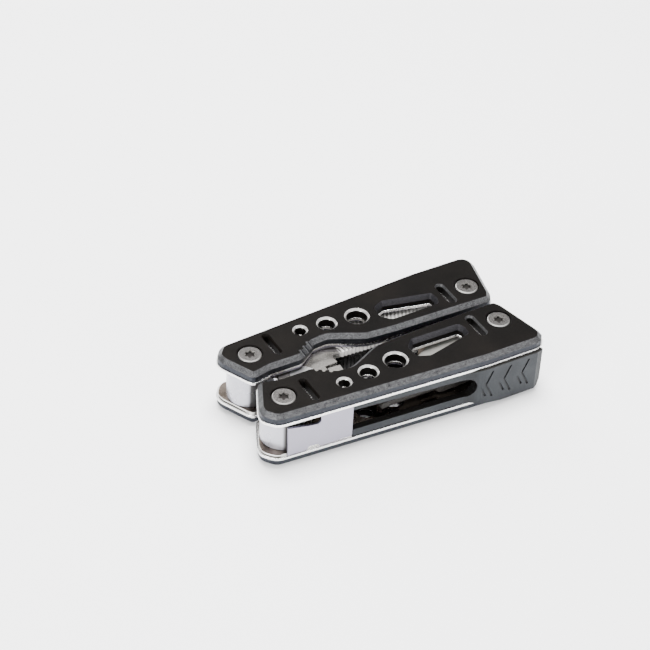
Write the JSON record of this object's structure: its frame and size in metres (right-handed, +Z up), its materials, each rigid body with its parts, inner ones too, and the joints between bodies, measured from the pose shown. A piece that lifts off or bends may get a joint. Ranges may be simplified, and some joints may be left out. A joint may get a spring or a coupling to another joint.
{
  "type": "folding multi tool",
  "caption": "Folding pocket multi tool with black handle scales, steel liners, pliers and locking fold-out tools, lying closed on one face.",
  "frame": {"origin": "middle of the bounding box, on the face that the closed tool lies on", "axes": "+X from the plier pivots to the tool pivots, +Y towards the rear handle, +Z up"},
  "size_m": [0.1043, 0.0536, 0.0224],
  "materials": {
    "handle_scales": "black anodised, satin",
    "liners": "bright",
    "lock_bars": "satin gunmetal",
    "jaws_and_tools": "satin",
    "screws_and_pins": "satin"
  },
  "bodies": {
    "front_handle": {"front_scale_top": "handle_scales", "front_scale_bottom": "handle_scales", "front_liner_top": "liners", "front_liner_bottom": "liners", "front_spring_liner": "liners", "front_floor_liner": "liners", "front_lock_pin": "screws_and_pins", "front_plier_pin": "screws_and_pins", "front_tool_pin": "screws_and_pins", "front_screws": "screws_and_pins", "front_tool_washers": "screws_and_pins"},
    "rear_handle": {"rear_scale_top": "handle_scales", "rear_scale_bottom": "handle_scales", "rear_liner_top": "liners", "rear_liner_bottom": "liners", "rear_spring_liner": "liners", "rear_floor_liner": "liners", "rear_lock_pin": "screws_and_pins", "rear_plier_pin": "screws_and_pins", "rear_tool_pin": "screws_and_pins", "rear_screws": "screws_and_pins", "rear_tool_washers": "screws_and_pins"},
    "plier_half_a": {"rear_jaw": "jaws_and_tools", "plier_rivet": "screws_and_pins"},
    "plier_half_b": {"front_jaw": "jaws_and_tools"},
    "front_lock": {"front_lock_bar": "lock_bars"},
    "rear_lock": {"rear_lock_bar": "lock_bars"},
    "knife": {"knife_blade": "jaws_and_tools"},
    "can_opener": {"can_opener": "jaws_and_tools"},
    "flat_driver": {"flat_screwdriver": "jaws_and_tools"},
    "cross_driver": {"cross_screwdriver": "jaws_and_tools"},
    "file": {"file_blade": "jaws_and_tools"},
    "bottle_opener": {"bottle_opener": "jaws_and_tools"},
    "small_driver": {"small_screwdriver": "jaws_and_tools"},
    "awl": {"awl": "jaws_and_tools"}
  },
  "joints": [
    {"name": "unfold_front", "type": "hinge", "parent": "front_handle", "child": "plier_half_a", "pos_m": [-0.042, -0.01175, 0.0112], "axis": [0, 0, 1], "range_deg": [0, 177]},
    {"name": "pliers_open", "type": "hinge", "parent": "plier_half_a", "child": "plier_half_b", "pos_m": [-0.028, 0, 0.0112], "axis": [0, 0, 1], "range_deg": [-33, 7]},
    {"name": "unfold_rear", "type": "hinge", "parent": "plier_half_b", "child": "rear_handle", "pos_m": [-0.042, 0.01175, 0.0112], "axis": [0, 0, 1], "range_deg": [0, 177]},
    {"name": "front_lock_lift", "type": "hinge", "parent": "front_handle", "child": "front_lock", "pos_m": [-0.0245, -0.0188, 0.0112], "axis": [0, 0, 1], "range_deg": [-3, 0], "stiffness_Nm_per_rad": 0.5},
    {"name": "rear_lock_lift", "type": "hinge", "parent": "rear_handle", "child": "rear_lock", "pos_m": [-0.0245, 0.0188, 0.0112], "axis": [0, 0, 1], "range_deg": [0, 3], "stiffness_Nm_per_rad": 0.5},
    {"name": "knife_fold", "type": "hinge", "parent": "front_handle", "child": "knife", "pos_m": [0.042, -0.01013, 0.0112], "axis": [0, 0, 1], "range_deg": [-180, 0]},
    {"name": "can_opener_fold", "type": "hinge", "parent": "front_handle", "child": "can_opener", "pos_m": [0.042, -0.01013, 0.0112], "axis": [0, 0, 1], "range_deg": [-180, 0]},
    {"name": "flat_driver_fold", "type": "hinge", "parent": "front_handle", "child": "flat_driver", "pos_m": [0.042, -0.01013, 0.0112], "axis": [0, 0, 1], "range_deg": [-180, 0]},
    {"name": "cross_driver_fold", "type": "hinge", "parent": "front_handle", "child": "cross_driver", "pos_m": [0.042, -0.01013, 0.0112], "axis": [0, 0, 1], "range_deg": [-180, 0]},
    {"name": "file_fold", "type": "hinge", "parent": "rear_handle", "child": "file", "pos_m": [0.042, 0.01013, 0.0112], "axis": [0, 0, 1], "range_deg": [0, 180]},
    {"name": "bottle_opener_fold", "type": "hinge", "parent": "rear_handle", "child": "bottle_opener", "pos_m": [0.042, 0.01013, 0.0112], "axis": [0, 0, 1], "range_deg": [0, 180]},
    {"name": "small_driver_fold", "type": "hinge", "parent": "rear_handle", "child": "small_driver", "pos_m": [0.042, 0.01013, 0.0112], "axis": [0, 0, 1], "range_deg": [0, 180]},
    {"name": "awl_fold", "type": "hinge", "parent": "rear_handle", "child": "awl", "pos_m": [0.042, 0.01013, 0.0112], "axis": [0, 0, 1], "range_deg": [0, 180]}
  ],
  "couplings": [
    {"joint": "pliers_open", "follows": "unfold_front", "ratio": -0.04444},
    {"joint": "knife_fold", "follows": "unfold_front", "ratio": -0.5},
    {"joint": "can_opener_fold", "follows": "unfold_front", "ratio": -1},
    {"joint": "flat_driver_fold", "follows": "unfold_front", "ratio": -0.6},
    {"joint": "cross_driver_fold", "follows": "unfold_front", "ratio": -0.7},
    {"joint": "file_fold", "follows": "unfold_rear", "ratio": 0.5},
    {"joint": "bottle_opener_fold", "follows": "unfold_rear", "ratio": 1},
    {"joint": "small_driver_fold", "follows": "unfold_rear", "ratio": 0.65},
    {"joint": "awl_fold", "follows": "unfold_rear", "ratio": 0.6}
  ]
}
